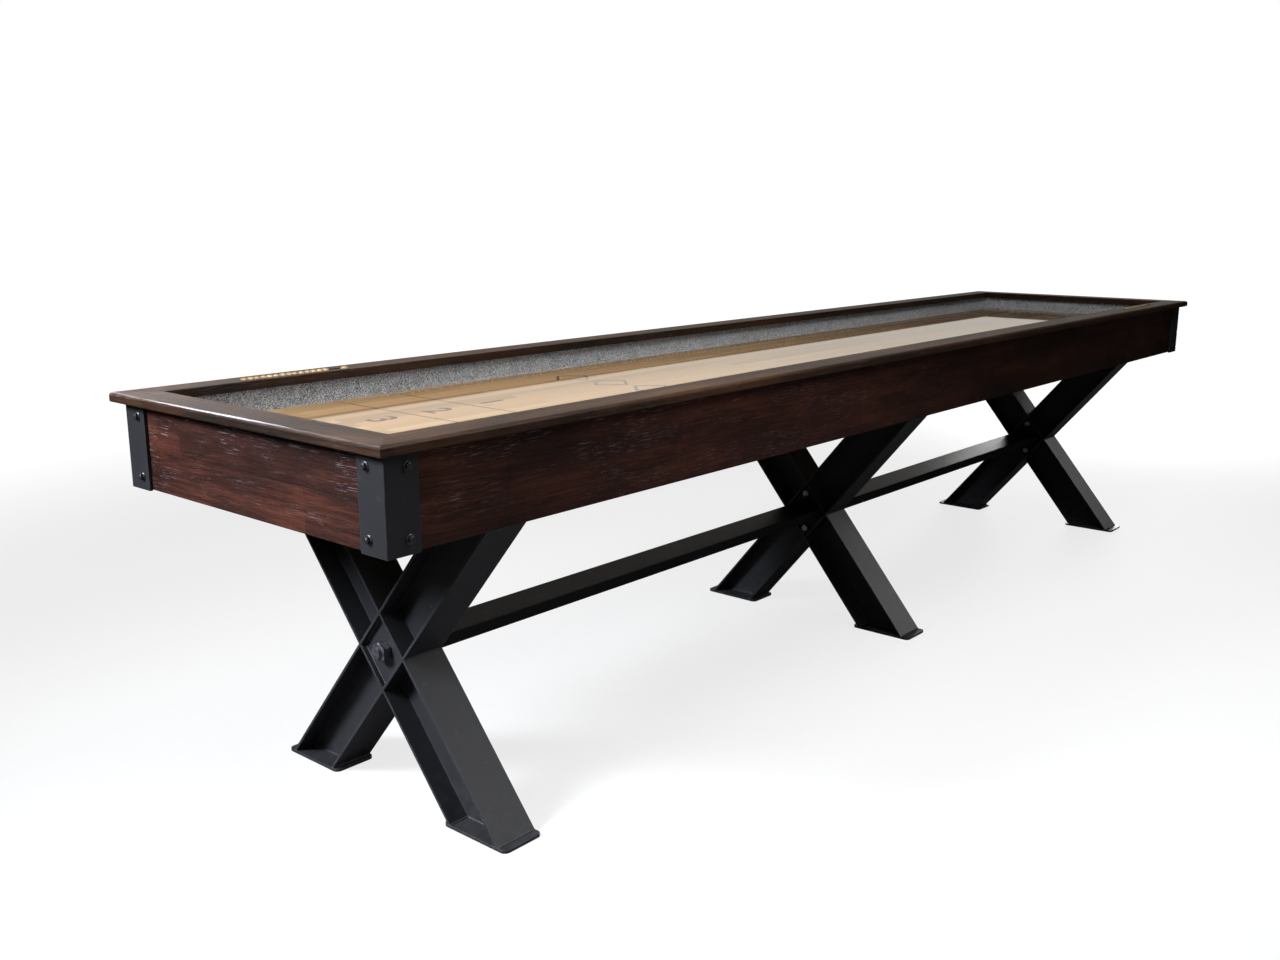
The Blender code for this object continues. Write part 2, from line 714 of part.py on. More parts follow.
def make_counters():
    """A rod and its beads in each rail's groove: a row, the next bead to move, and a scored one."""
    z = HEIGHT - ROD_BELOW_TOP
    row_length = BEADS_IN_ROW * BEAD_LENGTH
    for side, start in (("rear", REAR_SLOT_START), ("front", FRONT_SLOT_START)):
        y = (WIDTH / 2 - SLOT_OUT) * (1 if side == "rear" else -1)
        last = start + slot_length()
        rod = [(start - ROD_SOCKET, ROD_RADIUS), (last + ROD_SOCKET, ROD_RADIUS)]
        pieces = (
            (f"{side}_counter_rod", rod, 0.0, False, "plated_steel"),
            (f"{side}_bead_row", bead_profile(BEADS_IN_ROW), start + GAP, True, "bead_wood"),
            (f"{side}_next_bead", bead_profile(1), start + 2 * GAP + row_length, True, "bead_wood"),
            (f"{side}_scored_bead", bead_profile(1), last - GAP - BEAD_LENGTH, True, "bead_wood"),
        )
        for name, profile, x, bored, finish in pieces:
            add_object(name, turned(name, profile, bored), finish, (x, y, z), smooth=True)


def main():
    for obj in list(bpy.data.objects):
        bpy.data.objects.remove(obj, do_unlink=True)
    make_playfield()
    make_adjusters()
    make_rails()
    make_aprons()
    make_liners()
    make_bed()
    make_cross_pieces()
    make_brackets()
    make_legs()
    make_stretchers()
    make_counters()


main()
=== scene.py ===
"""The looks of a twelve-foot shuffleboard table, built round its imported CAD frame.

Metres, +Z up. X runs along the table and Y across it. The CAD nodes keep their shapes and get
procedural materials here; fasteners, beads, welds, gutter carpet and playfield markings are added.
"""

import json
import math
import random

import bmesh
import bpy
from mathutils import Matrix, Vector, noise


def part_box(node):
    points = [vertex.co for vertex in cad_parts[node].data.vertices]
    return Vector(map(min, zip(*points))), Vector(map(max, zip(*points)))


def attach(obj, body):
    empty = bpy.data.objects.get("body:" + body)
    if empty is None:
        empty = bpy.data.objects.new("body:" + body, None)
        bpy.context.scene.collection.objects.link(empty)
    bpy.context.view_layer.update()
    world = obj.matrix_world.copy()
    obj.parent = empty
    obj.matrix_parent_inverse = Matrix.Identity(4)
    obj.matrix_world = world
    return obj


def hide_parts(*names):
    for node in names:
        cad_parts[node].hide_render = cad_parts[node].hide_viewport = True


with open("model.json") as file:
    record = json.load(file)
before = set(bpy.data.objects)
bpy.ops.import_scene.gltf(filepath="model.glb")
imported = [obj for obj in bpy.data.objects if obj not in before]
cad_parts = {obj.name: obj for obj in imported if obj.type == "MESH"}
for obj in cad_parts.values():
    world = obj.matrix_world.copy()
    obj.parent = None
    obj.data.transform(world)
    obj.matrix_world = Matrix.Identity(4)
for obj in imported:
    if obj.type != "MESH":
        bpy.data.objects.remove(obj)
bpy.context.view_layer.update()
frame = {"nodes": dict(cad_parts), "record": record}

# Sizes that the frame's boxes don't give
LEG_ANGLE = math.radians(39.8)
CROSS_Z = 0.3085
BEAM_DEPTH = 0.1065
BEAM_WIDTH = 0.095
FLANGE_THICK = 0.005
WEB_THICK = 0.005
FOOT_THICK = 0.006
CROSS_PLATE_INSET = 0.012
TOP_PLATE_THICK = 0.008
LEGS = ("near", "middle", "far")

# The playfield is centred on the origin, so its high corner gives its half sizes
FIELD_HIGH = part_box("playfield")[1]
FIELD_TOP = FIELD_HIGH.z


# ---------------------------------------------------------------- shaders

# Sockets of a colour mix node, several of which share a name
MIX_FACTOR = 0
COLOUR_A = 6
COLOUR_B = 7
COLOUR_RESULT = 2


class Shader:
    """A material's node graph. Its methods add a node and return the socket to use next."""

    def __init__(self, name):
        self.material = bpy.data.materials.new(name)
        self.material.use_nodes = True
        self.tree = self.material.node_tree
        self.surface = self.tree.nodes["Principled BSDF"]
        self.place = self.node("ShaderNodeTexCoord").outputs["Object"]

    def node(self, kind, **settings):
        made = self.tree.nodes.new(kind)
        for key, value in settings.items():
            setattr(made, key, value)
        return made

    def feed(self, socket, value):
        if isinstance(value, bpy.types.NodeSocket):
            self.tree.links.new(value, socket)
        elif isinstance(value, tuple) and len(value) == 3 and socket.type == "RGBA":
            socket.default_value = (*value, 1.0)
        else:
            socket.default_value = value

    def set(self, **values):
        """Sets or links the surface's own inputs, named with underscores for spaces."""
        for key, value in values.items():
            self.feed(self.surface.inputs[key.replace("_", " ")], value)

    def math(self, operation, a, b=0.0, clamp=False):
        made = self.node("ShaderNodeMath", operation=operation, use_clamp=clamp)
        self.feed(made.inputs[0], a)
        self.feed(made.inputs[1], b)
        return made.outputs[0]

    def total(self, *terms, shift=0.0):
        """The sum of (socket, weight) terms and a shift."""
        result = shift
        for socket, weight in terms:
            made = self.node("ShaderNodeMath", operation="MULTIPLY_ADD")
            self.feed(made.inputs[0], socket)
            self.feed(made.inputs[1], weight)
            self.feed(made.inputs[2], result)
            result = made.outputs[0]
        return result

    def axis(self, name, vector=None):
        made = self.node("ShaderNodeSeparateXYZ")
        self.feed(made.inputs[0], vector or self.place)
        return made.outputs[name]

    def vector(self, x, y, z):
        made = self.node("ShaderNodeCombineXYZ")
        for socket, value in zip(made.inputs, (x, y, z)):
            self.feed(socket, value)
        return made.outputs[0]

    def scaled(self, scale, shift=(0.0, 0.0, 0.0), vector=None):
        made = self.node("ShaderNodeMapping")
        self.feed(made.inputs["Vector"], vector or self.place)
        made.inputs["Scale"].default_value = scale
        made.inputs["Location"].default_value = shift
        return made.outputs[0]

    def noise(self, vector, scale=1.0, detail=3.0, roughness=0.5, distortion=0.0):
        made = self.node("ShaderNodeTexNoise")
        self.feed(made.inputs["Vector"], vector)
        made.inputs["Scale"].default_value = scale
        made.inputs["Detail"].default_value = detail
        made.inputs["Roughness"].default_value = roughness
        made.inputs["Distortion"].default_value = distortion
        return made.outputs[0]

    def cells(self, vector, scale, feature="F1"):
        made = self.node("ShaderNodeTexVoronoi", feature=feature)
        self.feed(made.inputs["Vector"], vector)
        made.inputs["Scale"].default_value = scale
        return made.outputs["Distance"]

    def staves(self, vector, length, width, joint):
        """Random tone of each stave in a brick-like layout, and 1 on the joints between them."""
        made = self.node("ShaderNodeTexBrick")
        made.offset = 0.37
        made.offset_frequency = 1
        made.squash = 0.73
        made.squash_frequency = 3
        self.feed(made.inputs["Vector"], vector)
        made.inputs["Color1"].default_value = (0, 0, 0, 1)
        made.inputs["Color2"].default_value = (1, 1, 1, 1)
        made.inputs["Mortar"].default_value = (0.5, 0.5, 0.5, 1)
        made.inputs["Scale"].default_value = 1.0
        made.inputs["Mortar Size"].default_value = joint
        made.inputs["Mortar Smooth"].default_value = 0.1
        made.inputs["Brick Width"].default_value = length
        made.inputs["Row Height"].default_value = width
        return made.outputs["Color"], made.outputs["Fac"]

    def step(self, value, low, high):
        """0 below low and 1 above high, smooth in between; low may be the larger."""
        made = self.node("ShaderNodeMapRange", interpolation_type="SMOOTHSTEP")
        self.feed(made.inputs["Value"], value)
        made.inputs["From Min"].default_value = low
        made.inputs["From Max"].default_value = high
        return made.outputs["Result"]

    def span(self, value, low, high):
        """A value from 0 to 1 spread between two limits."""
        made = self.node("ShaderNodeMapRange")
        self.feed(made.inputs["Value"], value)
        made.inputs["To Min"].default_value = low
        made.inputs["To Max"].default_value = high
        return made.outputs["Result"]

    def ramp(self, value, stops):
        made = self.node("ShaderNodeValToRGB")
        self.feed(made.inputs[0], value)
        elements = made.color_ramp.elements
        while len(elements) < len(stops):
            elements.new(0.5)
        for element, (position, colour) in zip(elements, stops):
            element.position = position
            element.color = (*colour, 1.0)
        return made.outputs[0]

    def mix(self, factor, a, b, blend="MIX"):
        made = self.node("ShaderNodeMix", data_type="RGBA", blend_type=blend)
        self.feed(made.inputs[MIX_FACTOR], factor)
        self.feed(made.inputs[COLOUR_A], a)
        self.feed(made.inputs[COLOUR_B], b)
        return made.outputs[COLOUR_RESULT]

    def bump(self, height, distance, strength=1.0, normal=None):
        made = self.node("ShaderNodeBump")
        self.feed(made.inputs["Height"], height)
        made.inputs["Distance"].default_value = distance
        made.inputs["Strength"].default_value = strength
        if normal:
            self.feed(made.inputs["Normal"], normal)
        return made.outputs[0]


def along(direction, lengthwise, across):
    """A scale that is small along the grain and large across it."""
    return tuple(lengthwise if axis == direction else across for axis in "XYZ")


# Linear colours of the stain from its darkest to its lightest level
STAIN_LEVELS = (0.0, 0.3, 0.6, 1.0)
APRON_STAIN = (
    (0.008, 0.0034, 0.0026),
    (0.029, 0.0095, 0.0064),
    (0.078, 0.0235, 0.0135),
    (0.160, 0.0530, 0.0270),
)
RAIL_STAIN = (
    (0.008, 0.0045, 0.0028),
    (0.026, 0.0118, 0.0062),
    (0.056, 0.0265, 0.0115),
    (0.108, 0.0540, 0.0225),
)
PORE_COLOUR = (0.006, 0.0028, 0.0022)
LIME_COLOUR = (0.250, 0.225, 0.235)
WEAR_ALONG_SIDES = (-0.9, 0.9)  # the places along X between which the lime fades
WEAR_AT_ENDS = (1.2, 1.9)


def espresso(name, direction, stain_colours, wear_range, lime, coat):
    """Dark-stained, wire-brushed boards, with lime in the scratches."""
    s = Shader(name)

    def streaks(lengthwise, across, detail, roughness, distortion=0.0, shift=(0.0, 0.0, 0.0)):
        stretched = s.scaled(along(direction, lengthwise, across), shift)
        return s.noise(stretched, 1.0, detail, roughness, distortion)

    run = s.axis(direction)
    rise = s.math("ADD", s.axis("Z"), s.axis("Y" if direction == "X" else "X"))
    tone, joint = s.staves(s.vector(run, rise, 0.0), length=0.46, width=0.0405, joint=0.0005)
    blotch = streaks(2.2, 9.0, 4.0, 0.62)
    figure = streaks(1.3, 15.0, 2.0, 0.5, 1.6)
    rings = s.math("SINE", s.math("MULTIPLY", figure, 70.0))
    grain = streaks(5.0, 210.0, 5.0, 0.65)
    pores = streaks(30.0, 900.0, 2.0, 0.5)

    upper = s.step(s.axis("Z"), 0.60, 0.70)
    level = s.total((blotch, 1.2), (tone, 0.17), (grain, 0.62), (rings, 0.05), (upper, 0.14), shift=-0.83)
    stain = s.ramp(level, tuple(zip(STAIN_LEVELS, stain_colours)))
    dark_pores = s.step(pores, 0.46, 0.36)
    stain = s.mix(s.total((dark_pores, 0.6), (joint, 0.5)), stain, PORE_COLOUR)

    # The lime sits in clusters of scratches and specks, most of it high up on the boards
    clusters = streaks(4.5, 17.0, 4.0, 0.65, shift=(3.1, 1.7, 0.4))
    scratches = streaks(24.0, 620.0, 2.0, 0.6, shift=(0.3, 5.0, 2.0))
    specks = streaks(160.0, 420.0, 2.0, 0.6, shift=(1.3, 2.0, 7.0))
    high = s.total((s.step(s.axis("Z"), 0.64, 0.80), 0.6), shift=0.4)
    wear_from, wear_to = wear_range
    place = s.math("MULTIPLY", s.step(s.axis("X"), wear_to, wear_from), high)
    lines = s.total((s.step(scratches, 0.58, 0.66), 1.0), (s.step(specks, 0.64, 0.72), 0.6))
    wear = s.math("MULTIPLY", s.math("MULTIPLY", s.step(clusters, 0.47, 0.62), lines, clamp=True), place)
    colour = s.mix(s.math("MULTIPLY", wear, lime), stain, LIME_COLOUR)

    height = s.total((grain, 0.6), (dark_pores, -0.4), (wear, -0.9), (joint, -0.5))
    s.set(
        Base_Color=colour,
        Roughness=s.span(s.total((grain, 1.0), (wear, 0.4)), 0.34, 0.62),
        Specular_IOR_Level=0.12,
        Coat_Weight=coat,
        Coat_Roughness=0.11,
        Normal=s.bump(height, 0.0012, 0.6),
    )
    return s.material


def maple():
    """The playfield: strips of several woods under a thick polished coat."""
    s = Shader("maple")
    tone, joint = s.staves(s.vector(s.axis("X"), s.axis("Y"), 0.0), length=1.15, width=0.0305, joint=0.0003)
    figure = s.noise(s.scaled((0.8, 26.0, 26.0)), 1.0, 2.0, 0.5, 1.0)
    rings = s.math("SINE", s.math("MULTIPLY", figure, 60.0))
    grain = s.noise(s.scaled((4.0, 260.0, 260.0)), 1.0, 4.0, 0.6)
    drift = s.noise(s.scaled((1.3, 9.0, 9.0), (4.0, 0.0, 0.0)), 1.0, 3.0, 0.55)
    wood = s.ramp(s.total((tone, 0.55), (drift, 0.8), shift=-0.2), (
        (0.00, (0.130, 0.074, 0.032)),
        (0.22, (0.198, 0.124, 0.056)),
        (0.45, (0.288, 0.184, 0.090)),
        (0.65, (0.325, 0.203, 0.099)),
        (0.85, (0.368, 0.258, 0.134)),
        (1.00, (0.250, 0.138, 0.072)),
    ))
    streak = s.total((grain, 0.60), (rings, 0.07))
    wood = s.mix(s.span(streak, 0.0, 0.55), wood, (0.23, 0.110, 0.042))
    knot_map = s.cells(s.scaled((2.1, 9.0, 9.0), (0.37, 0.21, 0.0)), 1.0)
    knots = s.step(s.total((knot_map, 1.0), (grain, 0.05)), 0.085, 0.035)
    wood = s.mix(s.math("MULTIPLY", knots, 0.85), wood, (0.020, 0.010, 0.005))
    wood = s.mix(s.math("MULTIPLY", joint, 0.55), wood, (0.13, 0.055, 0.025))
    swirl = s.noise(s.place, 60.0, 4.0, 0.7)
    s.set(
        Base_Color=wood,
        Roughness=0.45,
        Specular_IOR_Level=0.2,
        Coat_Weight=1.0,
        Coat_Roughness=0.03,
        Coat_IOR=1.45,
        Normal=s.bump(s.total((grain, 1.0), (joint, -0.5)), 0.00015, 0.3),
        Coat_Normal=s.bump(swirl, 0.00002, 0.3),
    )
    return s.material


def carpet():
    """Heather grey short-pile carpet."""
    s = Shader("grey_carpet")
    tufts = s.cells(s.place, 520.0)
    flecks = s.noise(s.scaled((0.75, 0.9, 1.0)), 560.0, 2.0, 0.6)
    strands = s.noise(s.scaled((0.6, 0.8, 1.0)), 1300.0, 2.0, 0.6)
    clumps = s.noise(s.place, 50.0, 3.0, 0.6)
    colour = s.ramp(s.total((flecks, 2.9), (strands, 1.3), (clumps, 0.35), shift=-1.70), (
        (0.08, (0.024, 0.025, 0.027)),
        (0.38, (0.125, 0.128, 0.132)),
        (0.60, (0.320, 0.325, 0.332)),
        (0.90, (0.740, 0.745, 0.750)),
    ))
    height = s.total((tufts, -1.0), (flecks, 1.0))
    s.set(
        Base_Color=colour,
        Roughness=0.95,
        Specular_IOR_Level=0.12,
        Sheen_Weight=0.7,
        Sheen_Roughness=0.5,
        Normal=s.bump(height, 0.0020, 1.0),
    )
    return s.material


PLY_PITCH = 0.0036


def plywood():
    """Unfinished plywood with its plies showing on the edges."""
    s = Shader("plywood")
    plies = s.math("SINE", s.math("MULTIPLY", s.axis("Z"), 2 * math.pi / PLY_PITCH))
    facing = s.math("ABSOLUTE", s.axis("Z", s.node("ShaderNodeNewGeometry").outputs["Normal"]))
    edge = s.step(facing, 0.6, 0.3)
    grain = s.noise(s.scaled((3.0, 90.0, 90.0)), 1.0, 5.0, 0.6)
    patches = s.noise(s.scaled((1.2, 3.0, 3.0)), 1.0, 3.0, 0.6, 0.8)
    face = s.mix(grain, (0.30, 0.19, 0.10), (0.48, 0.34, 0.20))
    face = s.mix(s.span(patches, 0.0, 0.5), face, (0.33, 0.22, 0.12))
    layers = s.mix(s.step(plies, -0.2, 0.2), (0.20, 0.12, 0.06), (0.46, 0.33, 0.19))
    s.set(
        Base_Color=s.mix(edge, face, layers),
        Roughness=s.span(grain, 0.6, 0.85),
        Normal=s.bump(grain, 0.0005, 0.4),
    )
    return s.material


COAT_SHADES = ((0.0125, 0.0128, 0.0150), (0.0240, 0.0244, 0.0275))
EDGE_ROUNDING = 0.0014


def black_steel(name, depth, gloss):
    """Satin black powder coat with a painted highlight along its edges, mixed with rubbed wear. Depth
    scales its shades; a depth below 1 paints shade.
    """
    s = Shader(name)
    bevel = s.node("ShaderNodeBevel", samples=4)
    bevel.inputs["Radius"].default_value = EDGE_ROUNDING
    rounded = bevel.outputs["Normal"]
    apart = s.node("ShaderNodeVectorMath", operation="DOT_PRODUCT")
    s.feed(apart.inputs[0], rounded)
    s.feed(apart.inputs[1], s.node("ShaderNodeNewGeometry").outputs["True Normal"])
    edge = s.step(apart.outputs["Value"], 0.99, 0.85)

    cloud = s.noise(s.place, 7.0, 4.0, 0.6)
    peel = s.noise(s.place, 700.0, 2.0, 0.5)
    scale = s.noise(s.place, 45.0, 4.0, 0.65)
    # Lighter patches low down near the floor: painted light, where the table top shades the legs less
    painted_foot_light = s.math("MULTIPLY", s.step(s.axis("Z"), 0.16, 0.0), s.step(scale, 0.35, 0.75))
    rub = s.math("MULTIPLY", s.step(scale, 0.62, 0.74), s.step(cloud, 0.48, 0.62))
    chips = s.step(s.noise(s.scaled((60.0, 60.0, 60.0), (5.0, 1.0, 3.0)), 1.0, 3.0, 0.7), 0.70, 0.75)
    # A depth below 1 darkens every shade of the coat: painted shade
    darkest, lightest = (tuple(depth * channel for channel in shade) for shade in COAT_SHADES)
    colour = s.mix(s.span(cloud, 0.0, 0.8), darkest, lightest)
    colour = s.mix(s.total((rub, 0.4 * depth), (painted_foot_light, 0.35)), colour, (0.055, 0.055, 0.057))
    # The edges are painted lighter: a painted highlight along them, with rubbed wear; the chips are wear
    edge_highlight_and_wear = s.total((s.math("MULTIPLY", edge, s.span(scale, 0.25, 0.8)), 1.0), (chips, 0.35))
    colour = s.mix(edge_highlight_and_wear, colour, (0.135, 0.135, 0.142))
    s.set(
        Base_Color=colour,
        Roughness=s.span(s.total((scale, 0.7), (cloud, 0.3)), 0.38, 0.56),
        Specular_IOR_Level=gloss,
        Normal=s.bump(s.total((peel, 0.4), (scale, 0.5)), 0.00025, 0.45, rounded),
    )
    return s.material


def oiled_steel(name, tint, metallic):
    """Blackened steel of nuts and screws, brighter where it is rubbed."""
    s = Shader(name)
    cloud = s.noise(s.place, 150.0, 4.0, 0.65)
    s.set(
        Base_Color=s.mix(s.step(cloud, 0.40, 0.70), tint, tuple(2.6 * channel for channel in tint)),
        Metallic=metallic,
        Roughness=s.span(cloud, 0.25, 0.48),
        Normal=s.bump(cloud, 0.0002, 0.4),
    )
    return s.material


ZINC = (0.46, 0.45, 0.43)


def plated_steel():
    """Zinc-plated steel with brushed and stained areas."""
    s = Shader("plated_steel")
    cloud = s.noise(s.place, 180.0, 4.0, 0.6)
    lines = s.noise(s.scaled((90.0, 1400.0, 1400.0)), 1.0, 2.0)
    s.set(
        Base_Color=s.mix(cloud, tuple(0.55 * channel for channel in ZINC), ZINC),
        Metallic=1.0,
        Roughness=s.span(s.math("ADD", cloud, s.math("MULTIPLY", lines, 0.3)), 0.22, 0.45),
        Normal=s.bump(lines, 0.0001, 0.3),
    )
    return s.material


TURNING_PITCH = 0.0006


def bead_wood():
    """Turned beads, each a little lighter or darker than the next."""
    s = Shader("bead_wood")
    shade = s.noise(s.scaled((66.0, 3.0, 3.0)), detail=0.0)
    grain = s.noise(s.scaled((60.0, 900.0, 300.0)), 1.0, 3.0, 0.6)
    turning = s.math("SINE", s.math("MULTIPLY", s.axis("X"), 2 * math.pi / TURNING_PITCH))
    colour = s.mix(s.step(shade, 0.3, 0.7), (0.21, 0.125, 0.050), (0.42, 0.30, 0.150))
    colour = s.mix(s.span(grain, 0.0, 0.7), colour, (0.24, 0.150, 0.065))
    height = s.math("ADD", grain, s.math("MULTIPLY", turning, 0.2))
    s.set(
        Base_Color=colour,
        Roughness=0.35,
        Coat_Weight=0.5,
        Coat_Roughness=0.12,
        Normal=s.bump(height, 0.0001, 0.4),
    )
    return s.material


def ink(name, colour, faded):
    """Ink under the playfield's coat."""
    s = Shader(name)
    fade = s.noise(s.place, 260.0, 4.0, 0.7)
    s.set(
        Base_Color=s.mix(s.step(fade, 0.45, 0.65), colour, faded),
        Roughness=0.4,
        Coat_Weight=1.0,
        Coat_Roughness=0.035,
    )
    return s.material


MATERIALS = {
    "apron_long": espresso("apron_long", "X", APRON_STAIN, WEAR_ALONG_SIDES, lime=0.62, coat=0.0),
    "apron_end": espresso("apron_end", "Y", APRON_STAIN, WEAR_AT_ENDS, lime=0.62, coat=0.0),
    "rail_long": espresso("rail_long", "X", RAIL_STAIN, WEAR_ALONG_SIDES, lime=0.15, coat=0.10),
    "rail_end": espresso("rail_end", "Y", RAIL_STAIN, WEAR_AT_ENDS, lime=0.15, coat=0.14),
    "maple": maple(),
    "grey_carpet": carpet(),
    "plywood": plywood(),
    "black_steel": black_steel("black_steel", depth=1.0, gloss=0.22),
    # A darker, less glossy copy of the black coat for the stretchers: painted shade, standing in for the
    # shade they are in
    "black_steel_shaded": black_steel("black_steel_shaded", depth=0.35, gloss=0.10),
    "black_fastener": oiled_steel("black_fastener", (0.016, 0.016, 0.018), metallic=0.3),
    "oiled_steel": oiled_steel("oiled_steel", (0.075, 0.075, 0.085), metallic=0.8),
    "plated_steel": plated_steel(),
    "bead_wood": bead_wood(),
    "field_ink": ink("field_ink", (0.006, 0.005, 0.005), (0.05, 0.028, 0.014)),
    "faint_ink": ink("faint_ink", (0.055, 0.042, 0.032), (0.18, 0.125, 0.075)),
}


def dress_nodes():
    """Gives each CAD node its slot's material. Boards get the one for their direction and their kind."""
    for part in frame["record"]["subparts"]:
        obj = frame["nodes"][part["node"]]
        choice = part["material_slot"]
        if choice == "espresso_wood":
            kind = "rail" if "rail" in part["node"] else "apron"
            choice = f"{kind}_end" if "_end_" in part["node"] else f"{kind}_long"
        elif part["node"].startswith("stretcher_"):
            # The stretchers get the darker copy of the black coat, which paints their shade
            choice = "black_steel_shaded"
        obj.data.materials.clear()
        obj.data.materials.append(MATERIALS[choice])


# ---------------------------------------------------------------- meshes


def finish_piece(name, work, material, body="table", smooth_angle=35.0):
    """Turns a bmesh into a piece with its material, parented to an empty named for its body."""
    bmesh.ops.recalc_face_normals(work, faces=work.faces)
    mesh = bpy.data.meshes.new(name)
    work.to_mesh(mesh)
    work.free()
    mesh.shade_smooth()
    mesh.set_sharp_from_angle(angle=math.radians(smooth_angle))
    mesh.materials.append(MATERIALS[material])
    obj = bpy.data.objects.new(name, mesh)
    bpy.context.scene.collection.objects.link(obj)
    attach(obj, body)
    return obj


def add_loops(work, loops, ring=False):
    """Skins loops of equally many points into a capped tube, or into a closed ring."""
    rows = [[work.verts.new(point) for point in loop] for loop in loops]
    pairs = list(zip(rows, rows[1:]))
    if ring:
        pairs.append((rows[-1], rows[0]))
    for a, b in pairs:
        for k in range(len(a)):
            n = (k + 1) % len(a)
            work.faces.new((a[k], a[n], b[n], b[k]))
    if not ring:
        work.faces.new(rows[0])
        work.faces.new(rows[-1])


def turn_to(direction):
    """The rotation that carries +X to a direction."""
    return Vector((1, 0, 0)).rotation_difference(Vector(direction)).to_matrix().to_4x4()


def angles(steps):
    return [2 * math.pi * k / steps for k in range(steps)]


def polar(x, angle, reach):
    """A point at an angle and a distance from the X axis."""
    return Vector((x, reach * math.cos(angle), reach * math.sin(angle)))


def circle(x, radius, steps=36):
    return [polar(x, angle, radius) for angle in angles(steps)]


def hexagon_reach(angle, half_flats):
    """Distance from the middle of a hexagon to its edge."""
    return half_flats / math.cos((angle + math.pi / 6) % (math.pi / 3) - math.pi / 6)


CHAMFER_START = 0.95  # of a hexagon's half width, where its end face stops
CHAMFER_ANGLE = math.radians(30)


def hexagon_head(work, flats, start, height, bore=0.0, steps=48, place=Matrix.Identity(4)):
    """A hexagon head or nut along +X whose corners are chamfered by a cone, as real ones are."""
    half = flats / 2
    round_radius = CHAMFER_START * half
    slope = math.tan(CHAMFER_ANGLE)
    reaches = [(angle, hexagon_reach(angle, half)) for angle in angles(steps)]
    loops = []
    for end, way in ((start, 1), (start + height, -1)):
        if bore == 0.0 and way == 1:
            loops.append([polar(end, angle, reach) for angle, reach in reaches])
            continue
        face = circle(end, round_radius, steps)
        side = [polar(end + way * (reach - round_radius) * slope, angle, reach) for angle, reach in reaches]
        loops += [face, side] if way == 1 else [side, face]
    if bore:
        loops.append(circle(start + height, bore, steps))
        loops.append(circle(start, bore, steps))
    loops = [[place @ point for point in loop] for loop in loops]
    add_loops(work, loops, ring=bool(bore))


def turned_profile(work, profile, place=Matrix.Identity(4), steps=36, ring=False):
    """A turned shape along +X from (along, radius) pairs."""
    add_loops(work, [[place @ p for p in circle(x, r, steps)] for x, r in profile], ring=ring)


ROWS_PER_TURN = 8
RUNOUT_ROWS = 6


def screw_thread(work, radius, depth, pitch, start, end, place=Matrix.Identity(4), steps=36):
    """A threaded bar along +X, with the helix worked into its side and running out at its end."""
    rows = max(4, round((end - start) / pitch * ROWS_PER_TURN))
    loops = []
    for i in range(rows + 1):
        x = start + (end - start) * i / rows
        fade = min(1.0, (rows - i) / RUNOUT_ROWS)
        loop = []
        for angle in angles(steps):
            turn = (x / pitch - angle / (2 * math.pi)) % 1.0
            ridge = 1.0 - abs(2.0 * turn - 1.0)
            loop.append(place @ polar(x, angle, radius - depth * (1.0 - ridge * fade)))
        loops.append(loop)
    add_loops(work, loops)


# ---------------------------------------------------------------- corner brackets' screws

SCREW_FROM_CORNER = 0.0445
SCREW_BELOW_TOP = 0.0225
SCREW_ABOVE_BOTTOM = 0.0255
SCREW_FLANGE = ((-0.0005, 0.0088), (0.0008, 0.0088), (0.0018, 0.0079), (0.0024, 0.0066))  # along, radius
SCREW_CROWN = ((0.0060, 0.0040), (0.0071, 0.0040), (0.0074, 0.0036), (0.0074, 0.0022))
SCREW_FLATS = 0.0112
SCREW_HEX_START = 0.0020
SCREW_HEX_HEIGHT = 0.0048


def bracket_screw(work, place):
    """A black lag screw's head: a domed washer flange under a low hexagon with a raised crown."""
    turned_profile(work, SCREW_FLANGE, place)
    hexagon_head(work, SCREW_FLATS, SCREW_HEX_START, SCREW_HEX_HEIGHT, place=place)
    turned_profile(work, SCREW_CROWN, place)


def make_bracket_screws():
    for end in ("near", "far"):
        for side in ("front", "rear"):
            low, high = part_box(f"corner_bracket_{end}_{side}")
            corner = Vector((low.x if end == "near" else high.x, low.y if side == "front" else high.y, 0))
            inward = Vector((1 if end == "near" else -1, 1 if side == "front" else -1, 0))
            work = bmesh.new()
            for z in (low.z + SCREW_ABOVE_BOTTOM, high.z - SCREW_BELOW_TOP):
                on_end = Vector((corner.x, corner.y + inward.y * SCREW_FROM_CORNER, z))
                on_side = Vector((corner.x + inward.x * SCREW_FROM_CORNER, corner.y, z))
                bracket_screw(work, Matrix.Translation(on_end) @ turn_to((-inward.x, 0, 0)))
                bracket_screw(work, Matrix.Translation(on_side) @ turn_to((0, -inward.y, 0)))
            finish_piece(f"bracket_screws_{end}_{side}", work, "black_fastener")


# ---------------------------------------------------------------- nuts and bolts on the legs


BOLT_HEAD = 0.007
BOLT_RADIUS = 0.00495
BOLT_THREAD = (0.0005, 0.0015)  # depth and pitch
BOLT_BORE = 0.0052  # of the nuts on the bolts
STUD_RADIUS = 0.0125
STUD_THREAD = (0.0006, 0.0025)
STUD_BORE = 0.0123
STUD_NUT_FLATS = 0.03  # a nut wider than this belongs to a stud
STUD_PROUD = 0.0008  # the stud's thread hides the CAD stud's end
OVERLAP = 0.0005  # a shank starts this far inside its head


